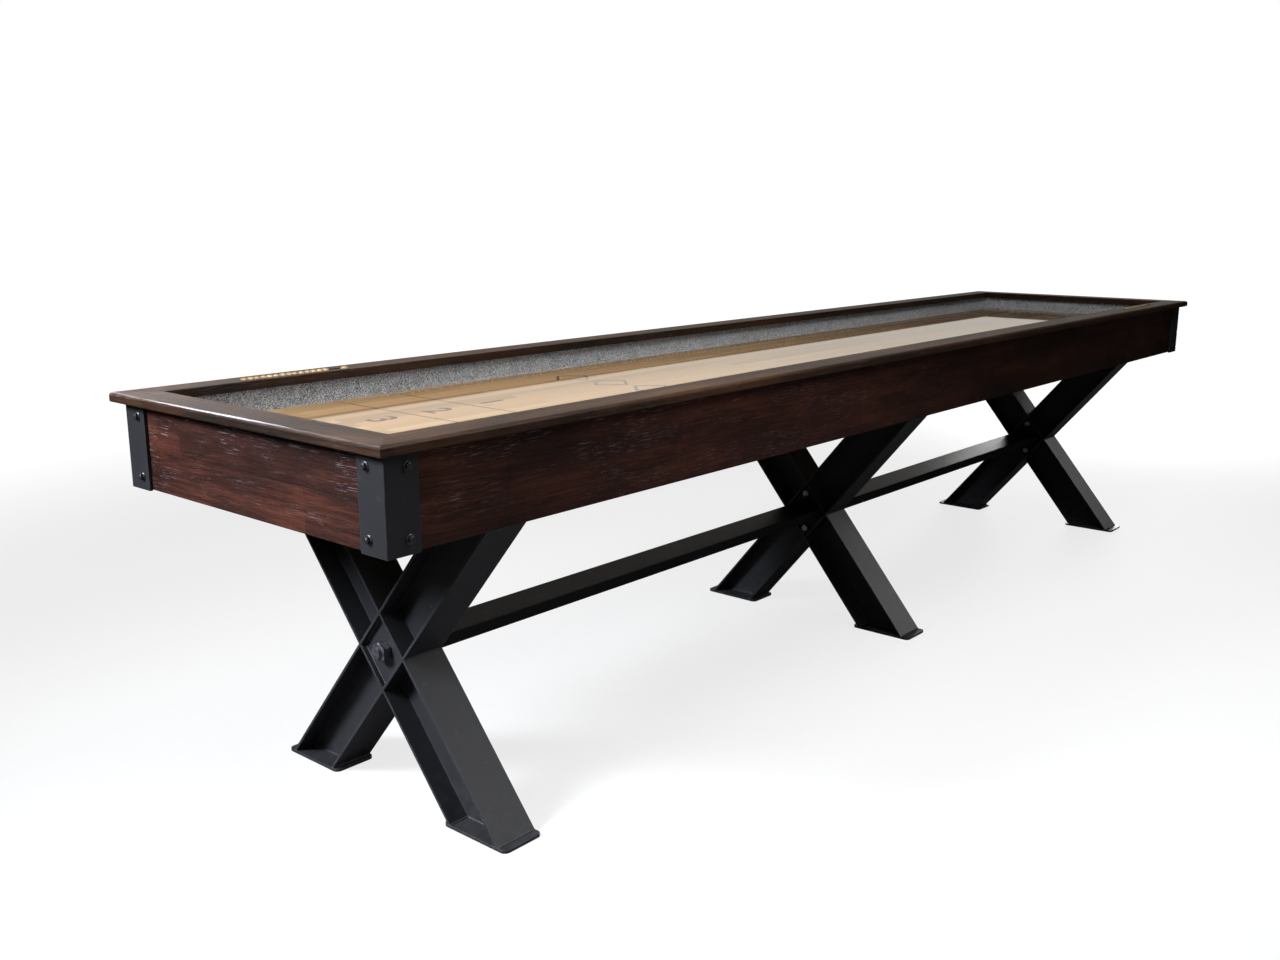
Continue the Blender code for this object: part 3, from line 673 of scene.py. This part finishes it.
def replace_bolt(node, head_side):
    """A chamfered and threaded bolt in the place of a CAD one, with its head towards -X or +X."""
    low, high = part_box(node)
    middle = (low + high) / 2
    flats = high.y - low.y
    start = Vector((low.x if head_side < 0 else high.x, middle.y, middle.z))
    place = Matrix.Translation(start) @ turn_to((-head_side, 0, 0))
    work = bmesh.new()
    flipped = place @ Matrix.Translation((BOLT_HEAD, 0, 0)) @ turn_to((-1, 0, 0))
    hexagon_head(work, flats, 0.0, BOLT_HEAD, place=flipped)
    screw_thread(work, BOLT_RADIUS, *BOLT_THREAD, BOLT_HEAD - OVERLAP, high.x - low.x, place)
    piece = finish_piece(f"{node}_threaded", work, "plated_steel")
    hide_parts(node)


def replace_nut(node, material):
    """A chamfered nut in the place of a CAD one."""
    low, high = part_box(node)
    middle = (low + high) / 2
    flats = high.y - low.y
    bore = BOLT_BORE if flats < STUD_NUT_FLATS else STUD_BORE
    work = bmesh.new()
    place = Matrix.Translation((low.x, middle.y, middle.z))
    hexagon_head(work, flats, 0.0, high.x - low.x, bore, place=place)
    piece = finish_piece(f"{node}_chamfered", work, material)
    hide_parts(node)


def make_stud_threads():
    """The threads that stand out of the big nuts."""
    for place, way in (("near", -1), ("far", 1)):
        nut_low, nut_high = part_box(f"stud_nut_{place}")
        rod_low, rod_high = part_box(f"stretcher_{place}")
        face = nut_low.x if way < 0 else nut_high.x
        tip = rod_low.x if way < 0 else rod_high.x
        length = abs(tip - face) + STUD_PROUD
        out = Matrix.Translation((face, 0, CROSS_Z)) @ turn_to((way, 0, 0))
        work = bmesh.new()
        screw_thread(work, STUD_RADIUS, *STUD_THREAD, 0.0, length, out, steps=48)
        finish_piece(f"stud_thread_{place}", work, "oiled_steel")


def make_leg_fixings():
    for level in ("upper", "lower"):
        replace_bolt(f"near_leg_bolt_{level}", 1)
        replace_bolt(f"middle_leg_bolt_{level}", -1)
        replace_bolt(f"far_leg_bolt_{level}", -1)
        replace_nut(f"middle_leg_nut_{level}", "plated_steel")
    for place in ("near", "far"):
        replace_nut(f"stud_nut_{place}", "oiled_steel")
    make_stud_threads()


LAG_X = 0.040
LAG_Y = (-0.165, 0.035, -0.035, 0.165)
LAG_WASHER = ((-0.0004, 0.0105), (0.0014, 0.0105), (0.0018, 0.0100))  # along, radius
LAG_FLATS = 0.013
LAG_HEX_START = 0.0016
LAG_HEX_HEIGHT = 0.0055


def make_lag_screws():
    """Lag screws that hold the legs' top plates to the cross members."""
    for leg in LEGS:
        low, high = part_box(f"x_leg_{leg}")
        middle_x = (low.x + high.x) / 2
        under = high.z - TOP_PLATE_THICK
        work = bmesh.new()
        for x in (middle_x - LAG_X, middle_x + LAG_X):
            for y in LAG_Y:
                place = Matrix.Translation((x, y, under)) @ turn_to((0, 0, -1))
                turned_profile(work, LAG_WASHER, place)
                hexagon_head(work, LAG_FLATS, LAG_HEX_START, LAG_HEX_HEIGHT, place=place)
        finish_piece(f"leg_lag_screws_{leg}", work, "plated_steel")


# ---------------------------------------------------------------- welds


RIPPLE_LENGTH = 0.0021
RIPPLE_TURN = 2.1  # radians of the ripple's wave from one ring of points to the next
RIPPLE_SWELL = 0.16  # of the weld's radius
RANDOM_SWELL = 0.10
BEAM_WELD_RADIUS = 0.0023
PLATE_WELD_RADIUS = 0.0024
WELD_FROM_EDGE = 0.002
WELD_SEED = 11


def weld_path(work, path, radius, rng):
    """A rippled weld bead along a path of points, thinner at its ends."""
    points = [path[0]]
    for a, b in zip(path, path[1:]):
        count = max(1, round((b - a).length / RIPPLE_LENGTH))
        points += [a.lerp(b, (i + 1) / count) for i in range(count)]
    loops = []
    for i, point in enumerate(points):
        ahead = points[min(i + 1, len(points) - 1)] - points[max(i - 1, 0)]
        turn = turn_to(ahead.normalized())
        swell = 1.0 + RIPPLE_SWELL * math.sin(i * RIPPLE_TURN) + RANDOM_SWELL * rng.uniform(-1, 1)
        taper = min(1.0, 0.45 + 0.3 * min(i, len(points) - 1 - i))
        loops.append([point + turn @ polar(0, angle, radius * swell * taper) for angle in angles(8)])
    add_loops(work, loops)


def leg_lines(x):
    """Paths of a leg's welds: where the beams meet each other, and round each foot."""
    half_width = BEAM_WIDTH / 2 - WELD_FROM_EDGE
    across = BEAM_DEPTH / 2 / math.cos(LEG_ANGLE)
    up = BEAM_DEPTH / 2 / math.sin(LEG_ANGLE)
    for y, z in ((across, 0), (-across, 0), (0, up), (0, -up)):
        yield [Vector((x + side * half_width, y, CROSS_Z + z)) for side in (-1, 1)]
    shift = FLANGE_THICK / math.cos(LEG_ANGLE)
    for side in (-1, 1):
        centre = side * (CROSS_Z - FOOT_THICK) * math.tan(LEG_ANGLE)
        for edge in (-across, across):
            yield [Vector((x + way * half_width, centre + edge, FOOT_THICK)) for way in (-1, 1)]
        for way in (-1, 1):
            inner = across - shift
            web = way * WEB_THICK / 2
            yield [
                Vector((x + way * half_width, centre - inner, FOOT_THICK)),
                Vector((x + web, centre - inner, FOOT_THICK)),
                Vector((x + web, centre + inner, FOOT_THICK)),
                Vector((x + way * half_width, centre + inner, FOOT_THICK)),
            ]


def diamond_loop(x):
    """The seam between a cross plate and the beams round it."""
    across = (BEAM_DEPTH / 2 - FLANGE_THICK) / math.cos(LEG_ANGLE)
    up = (BEAM_DEPTH / 2 - FLANGE_THICK) / math.sin(LEG_ANGLE)
    corners = ((across, 0), (0, up), (-across, 0), (0, -up), (across, 0))
    return [Vector((x, y, CROSS_Z + z)) for y, z in corners]


def make_welds():
    rng = random.Random(WELD_SEED)
    for leg in LEGS:
        low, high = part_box(f"x_leg_{leg}")
        x = (low.x + high.x) / 2
        work = bmesh.new()
        for path in leg_lines(x):
            weld_path(work, path, BEAM_WELD_RADIUS, rng)
        face = BEAM_WIDTH / 2 - CROSS_PLATE_INSET
        if leg != "middle":
            seam = diamond_loop(x + (-face if leg == "near" else face))
            weld_path(work, seam, PLATE_WELD_RADIUS, rng)
        finish_piece(f"leg_welds_{leg}", work, "black_steel", smooth_angle=50.0)


# ---------------------------------------------------------------- score beads

BEAD_COUNT = 13  # in a row that moves together
BEAD_PROFILE_STEPS = 14
BEAD_FULLNESS = 0.55  # below 1 makes the barrel blunter
BEAD_FACE = 0.0042
BEAD_BORE = 0.0025
BEAD_GAP = 0.0002


def add_bead(name, start, length, centre, radius, body):
    """One turned barrel bead with a bored hole."""
    profile = []
    for k in range(BEAD_PROFILE_STEPS + 1):
        share = k / BEAD_PROFILE_STEPS
        swell = max(0.0, math.sin(math.pi * share)) ** BEAD_FULLNESS
        profile.append((start + share * length, BEAD_FACE + (radius - BEAD_FACE) * swell))
    profile += [(start + length, BEAD_BORE), (start, BEAD_BORE)]
    work = bmesh.new()
    turned_profile(work, profile, Matrix.Translation(centre), ring=True)
    return finish_piece(name, work, "bead_wood", body)


def make_beads():
    for side in ("rear", "front"):
        low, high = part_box(f"{side}_bead_row")
        length = (high.x - low.x) / BEAD_COUNT
        centre = Vector((0, (low.y + high.y) / 2, (low.z + high.z) / 2))
        radius = (high.z - low.z) / 2
        beads = []
        for number in range(BEAD_COUNT):
            start = low.x + number * length + BEAD_GAP / 2
            name = f"{side}_bead_{number + 1}"
            beads.append(add_bead(name, start, length - BEAD_GAP, centre, radius, f"{side}_row"))
        for bead in beads:
            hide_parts(f"{side}_bead_row")
        for kind in ("next", "scored"):
            low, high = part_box(f"{side}_{kind}_bead")
            name = f"{side}_{kind}_turned_bead"
            piece = add_bead(name, low.x, high.x - low.x, centre, radius, f"{side}_{kind}")
            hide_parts(f"{side}_{kind}_bead")


# ---------------------------------------------------------------- gutters and playfield markings

CARPET_THICK = 0.004
CARPET_UNDER_FIELD = 0.010
CARPET_CELL = 0.012
CARPET_SIDE_GAP = 0.0005
CARPET_BED_GAP = 0.0003
PILE_WAVE = 0.0007  # height of the pile's unevenness
PILE_WAVES = 55  # per metre


def carpet_block(work, x_range, y_range, bed_top):
    """A strip of carpet with an uneven top, upright sides and a flat underside."""
    (x0, x1), (y0, y1) = x_range, y_range
    columns = max(2, round((x1 - x0) / CARPET_CELL))
    rows = max(2, round((y1 - y0) / CARPET_CELL))
    top = []
    for i in range(columns + 1):
        line = []
        for j in range(rows + 1):
            x = x0 + CARPET_SIDE_GAP + (x1 - x0 - 2 * CARPET_SIDE_GAP) * i / columns
            y = y0 + CARPET_SIDE_GAP + (y1 - y0 - 2 * CARPET_SIDE_GAP) * j / rows
            lift = PILE_WAVE * noise.noise(Vector((x * PILE_WAVES, y * PILE_WAVES, 0)))
            line.append(work.verts.new((x, y, bed_top + CARPET_THICK + lift)))
        top.append(line)
    for i in range(columns):
        for j in range(rows):
            work.faces.new((top[i][j], top[i + 1][j], top[i + 1][j + 1], top[i][j + 1]))
    rim = [line[0] for line in top] + top[-1][1:] + [line[-1] for line in top[-2::-1]] + top[0][-2:0:-1]
    foot = [work.verts.new((vertex.co.x, vertex.co.y, bed_top + CARPET_BED_GAP)) for vertex in rim]
    for k in range(len(rim)):
        n = (k + 1) % len(rim)
        work.faces.new((rim[k], foot[k], foot[n], rim[n]))
    work.faces.new(foot)


def make_gutter_carpet():
    """Carpet laid on the bed in the gutters round the playfield."""
    bed_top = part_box("bed_board_near")[1].z
    wall_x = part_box("far_end_carpet_liner")[0].x
    wall_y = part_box("rear_carpet_liner")[0].y
    under_x = FIELD_HIGH.x - CARPET_UNDER_FIELD
    under_y = FIELD_HIGH.y - CARPET_UNDER_FIELD
    strips = {
        "front": (-wall_x, wall_x, -wall_y, -under_y),
        "rear": (-wall_x, wall_x, under_y, wall_y),
        "near_end": (-wall_x, -under_x, -under_y, under_y),
        "far_end": (under_x, wall_x, -under_y, under_y),
    }
    for place, (x0, x1, y0, y1) in strips.items():
        work = bmesh.new()
        carpet_block(work, (x0, x1), (y0, y1), bed_top)
        name = f"gutter_carpet_{place}"
        piece = finish_piece(name, work, "grey_carpet", smooth_angle=60.0)


MARK_LIFT = 0.00006
MARK_THICK = 0.0001
LINE_WIDTH = 0.0028
LINE_END_GAP = 0.002
ZONE_LINES = (0.1755, 0.3240)  # from the playfield's end
NUMBER_MIDDLES = ((3, 0.106), (2, 0.2400), (1, 0.381))  # from the playfield's end
NUMBER_HEIGHT = 0.060
FONT_SIZE = NUMBER_HEIGHT / 0.69  # a digit is 0.69 of the font's size
NUMBER_BOLDER = 0.0008


def make_zone_lines():
    """Thin lines across the playfield."""
    low = FIELD_TOP + MARK_LIFT
    half = LINE_WIDTH / 2
    y = FIELD_HIGH.y - LINE_END_GAP
    for end, way in (("near", -1), ("far", 1)):
        work = bmesh.new()
        for distance in ZONE_LINES:
            x = way * (FIELD_HIGH.x - distance)
            outline = ((x - half, -y), (x + half, -y), (x + half, y), (x - half, y))
            add_loops(work, [[Vector((*point, z)) for point in outline] for z in (low, low + MARK_THICK)])
        finish_piece(f"zone_lines_{end}", work, "field_ink")


def digit_mesh(digit):
    """A digit's outline turned into a thin solid."""
    curve = bpy.data.curves.new("digit", "FONT")
    curve.body = str(digit)
    curve.size = FONT_SIZE
    curve.extrude = MARK_THICK / 2
    curve.offset = NUMBER_BOLDER
    curve.align_x = "CENTER"
    curve.resolution_u = 6
    text = bpy.data.objects.new("digit", curve)
    bpy.context.scene.collection.objects.link(text)
    graph = bpy.context.evaluated_depsgraph_get()
    mesh = bpy.data.meshes.new_from_object(text.evaluated_get(graph))
    bpy.data.objects.remove(text, do_unlink=True)
    work = bmesh.new()
    work.from_mesh(mesh)
    bmesh.ops.remove_doubles(work, verts=work.verts, dist=1e-6)
    return work


def make_numbers():
    """Plain scoring numbers that face the player at each end."""
    for end, way in (("near", -1), ("far", 1)):
        turn = Matrix.Rotation(math.radians(90 * way), 4, "Z")
        for digit, distance in NUMBER_MIDDLES:
            work = digit_mesh(digit)
            middle = sum((vertex.co for vertex in work.verts), Vector()) / len(work.verts)
            origin = Vector((middle.x, NUMBER_HEIGHT / 2, 0))
            place = Vector((way * (FIELD_HIGH.x - distance), 0, FIELD_TOP + MARK_LIFT + MARK_THICK / 2))
            for vertex in work.verts:
                vertex.co = place + turn @ (vertex.co - origin)
            finish_piece(f"field_number_{digit}_{end}", work, "field_ink")


LOZENGE_X = -0.8675
LOZENGE_ROW = (-0.12, 0.0, 0.12)
LOZENGE_SIZE = 0.105
LOZENGE_STROKE = 0.010


def make_lozenges():
    """A plain row of outlined lozenges across the playfield."""
    work = bmesh.new()
    low = FIELD_TOP + MARK_LIFT
    high = low + MARK_THICK
    outer = LOZENGE_SIZE / 2
    inner = outer - LOZENGE_STROKE
    for y in LOZENGE_ROW:
        loops = []
        for reach, z in ((outer, low), (outer, high), (inner, high), (inner, low)):
            loops.append([
                Vector((LOZENGE_X + along_x, y + along_y, z))
                for along_x, along_y in ((reach, 0), (0, reach), (-reach, 0), (0, -reach))
            ])
        add_loops(work, loops, ring=True)
    finish_piece("field_lozenges", work, "faint_ink")


# ---------------------------------------------------------------- stage


FLOOR_HALF = 60.0
FLOOR_GLOW = 0.76  # what the camera sees near the table
FLOOR_GLOW_AWAY = 1.02
GLOW_GROWS = (2.2, 4.5)  # distances from the table's middle


def make_floor():
    """A plain white floor. It glows for the camera only, so that it doesn't light the table."""
    mesh = bpy.data.meshes.new("floor")
    corners = [(FLOOR_HALF * x, FLOOR_HALF * y, 0) for x, y in ((-1, -1), (1, -1), (1, 1), (-1, 1))]
    mesh.from_pydata(corners, [], [(0, 1, 2, 3)])
    s = Shader("floor_white")
    grit = s.noise(s.place, 30.0, 3.0)
    away = s.node("ShaderNodeVectorMath", operation="LENGTH")
    s.feed(away.inputs[0], s.place)
    growth = s.step(away.outputs["Value"], *GLOW_GROWS)
    glow = s.total((growth, FLOOR_GLOW_AWAY - FLOOR_GLOW), shift=FLOOR_GLOW)
    seen = s.node("ShaderNodeLightPath").outputs["Is Camera Ray"]
    s.set(
        Base_Color=s.mix(grit, (0.15, 0.15, 0.15), (0.17, 0.17, 0.17)),
        Roughness=0.9,
        Specular_IOR_Level=0.1,
        Emission_Color=(1, 1, 1),
        Emission_Strength=s.math("MULTIPLY", seen, glow),
    )
    mesh.materials.append(s.material)
    floor = bpy.data.objects.new("floor", mesh)
    bpy.context.scene.collection.objects.link(floor)


WALL_YAW = 40.0  # where the middle of the bright band is
WALL_WIDTH = (0.70, 0.86)  # the cosines between which the band fades sideways
WALL_FOOT = (0.0, 0.05)  # the heights between which it fades at its foot
WALL_TOP = (0.36, 0.20)  # and at its top
WALL_BRIGHT = 0.66
STUDIO_DIM = 0.05
STUDIO_TINT = (1.0, 0.95, 0.86, 1.0)
WHITE = (1.0, 1.0, 1.0, 1.0)


def make_world():
    """White for the camera. It lights the table as a dim, warm studio with a band low behind it."""
    world = bpy.data.worlds.new("studio")
    bpy.context.scene.world = world
    world.use_nodes = True
    tree = world.node_tree
    tree.nodes.clear()

    def node(kind, **settings):
        made = tree.nodes.new(kind)
        for key, value in settings.items():
            setattr(made, key, value)
        return made

    def fade(socket, low, high, start=0.0, end=1.0):
        made = node("ShaderNodeMapRange", interpolation_type="SMOOTHSTEP")
        tree.links.new(socket, made.inputs["Value"])
        for name, value in (("From Min", low), ("From Max", high), ("To Min", start), ("To Max", end)):
            made.inputs[name].default_value = value
        return made.outputs["Result"]

    def combine(operation, a, b):
        made = node("ShaderNodeMath", operation=operation)
        tree.links.new(a, made.inputs[0])
        tree.links.new(b, made.inputs[1])
        return made.outputs[0]

    direction = node("ShaderNodeTexCoord").outputs["Generated"]
    towards_wall = node("ShaderNodeVectorMath", operation="DOT_PRODUCT")
    wall = math.radians(WALL_YAW)
    towards_wall.inputs[1].default_value = (math.cos(wall), math.sin(wall), 0.0)
    tree.links.new(direction, towards_wall.inputs[0])
    rise = node("ShaderNodeSeparateXYZ")
    tree.links.new(direction, rise.inputs[0])
    sideways = fade(towards_wall.outputs["Value"], *WALL_WIDTH)
    above = fade(rise.outputs["Z"], *WALL_FOOT)
    below = fade(rise.outputs["Z"], *WALL_TOP)
    band = combine("MULTIPLY", combine("MULTIPLY", sideways, above), below)
    seen = node("ShaderNodeLightPath").outputs["Is Camera Ray"]
    strength = combine("MAXIMUM", fade(band, 0.0, 1.0, STUDIO_DIM, WALL_BRIGHT), seen)
    tint = node("ShaderNodeMix", data_type="RGBA")
    tint.inputs[COLOUR_A].default_value = STUDIO_TINT
    tint.inputs[COLOUR_B].default_value = WHITE
    tree.links.new(seen, tint.inputs[MIX_FACTOR])
    background = node("ShaderNodeBackground")
    tree.links.new(tint.outputs[COLOUR_RESULT], background.inputs["Color"])
    tree.links.new(strength, background.inputs["Strength"])
    tree.links.new(background.outputs[0], node("ShaderNodeOutputWorld").inputs["Surface"])


COOL = (0.88, 0.92, 1.0)
FAINTLY_COOL = (0.94, 0.92, 1.0)


def add_softbox(name, place, target, size, power, colour=(1, 1, 1), spread=180.0):
    data = bpy.data.lights.new(name, "AREA")
    data.color = colour
    data.shape = "RECTANGLE"
    data.size, data.size_y = size
    data.energy = power
    data.spread = math.radians(spread)
    light = bpy.data.objects.new(name, data)
    light.location = place
    aim = Vector(target) - Vector(place)
    light.rotation_euler = aim.to_track_quat("-Z", "Y").to_euler()
    light.visible_camera = False
    bpy.context.scene.collection.objects.link(light)
    return light


def light_only(light, receivers):
    """Keeps a light from falling on anything but the CAD nodes given."""
    group = bpy.data.collections.new(f"{light.name}_receivers")
    for obj in receivers:
        group.objects.link(obj)
    light.light_linking.receiver_collection = group


def make_lights():
    rails = [obj for node, obj in frame["nodes"].items() if node.endswith("_rail") or "_rail_" in node]
    legs = [frame["nodes"][f"x_leg_{leg}"] for leg in LEGS]
    add_softbox("overhead", (-1.0, -0.6, 3.1), (-0.6, 0, 0.4), (3.2, 1.2), 55.0, spread=125.0)
    add_softbox("left", (-4.2, 1.1, 2.6), (-1.8, 0, 0.65), (1.2, 1.2), 27.0, COOL, 40.0)
    rear = add_softbox("rear", (-1.4, 3.4, 2.8), (-1.7, 0, 0.8), (1.3, 0.35), 18.0, FAINTLY_COOL, 70.0)
    light_only(rear, rails)
    add_softbox("far_end", (4.6, 0.9, 0.45), (1.8, 0, 0.5), (1.6, 0.5), 16.0, spread=70.0)
    add_softbox("front", (-2.2, -4.2, 1.3), (-1.4, -0.4, 0.6), (2.4, 1.0), 3.0, spread=80.0)
    add_softbox("front_left", (-4.2, -1.6, 2.9), (-1.4, -0.2, 0.6), (1.2, 1.2), 10.0)
    add_softbox("near_leg", (0.4, -2.4, 2.5), (-1.5, -0.35, 0.15), (1.2, 1.2), 4.4, spread=50.0)
    other_legs = add_softbox("other_legs", (4.0, -2.0, 1.9), (0.8, -0.3, 0.1), (1.4, 0.8), 2.6, spread=40.0)
    light_only(other_legs, legs)


CAMERA_PLACE = (-2.9234, -1.8590, 1.1584)
CAMERA_YAW = 40.749
CAMERA_PITCH = -12.641
CAMERA_LENS = 34.639
SENSOR_WIDTH = 36.0
CLIP_END = 300.0


def make_camera():
    data = bpy.data.cameras.new("camera")
    data.lens = CAMERA_LENS
    data.sensor_width = SENSOR_WIDTH
    data.clip_end = CLIP_END
    camera = bpy.data.objects.new("camera", data)
    camera.location = CAMERA_PLACE
    camera.rotation_euler = (math.radians(90 + CAMERA_PITCH), 0, math.radians(CAMERA_YAW - 90))
    bpy.context.scene.collection.objects.link(camera)
    bpy.context.scene.camera = camera
    bpy.context.scene.view_settings.view_transform = "Standard"


dress_nodes()
make_bracket_screws()
make_leg_fixings()
make_lag_screws()
make_welds()
make_beads()
make_gutter_carpet()
make_zone_lines()
make_numbers()
make_lozenges()
make_floor()
make_world()
make_lights()
make_camera()
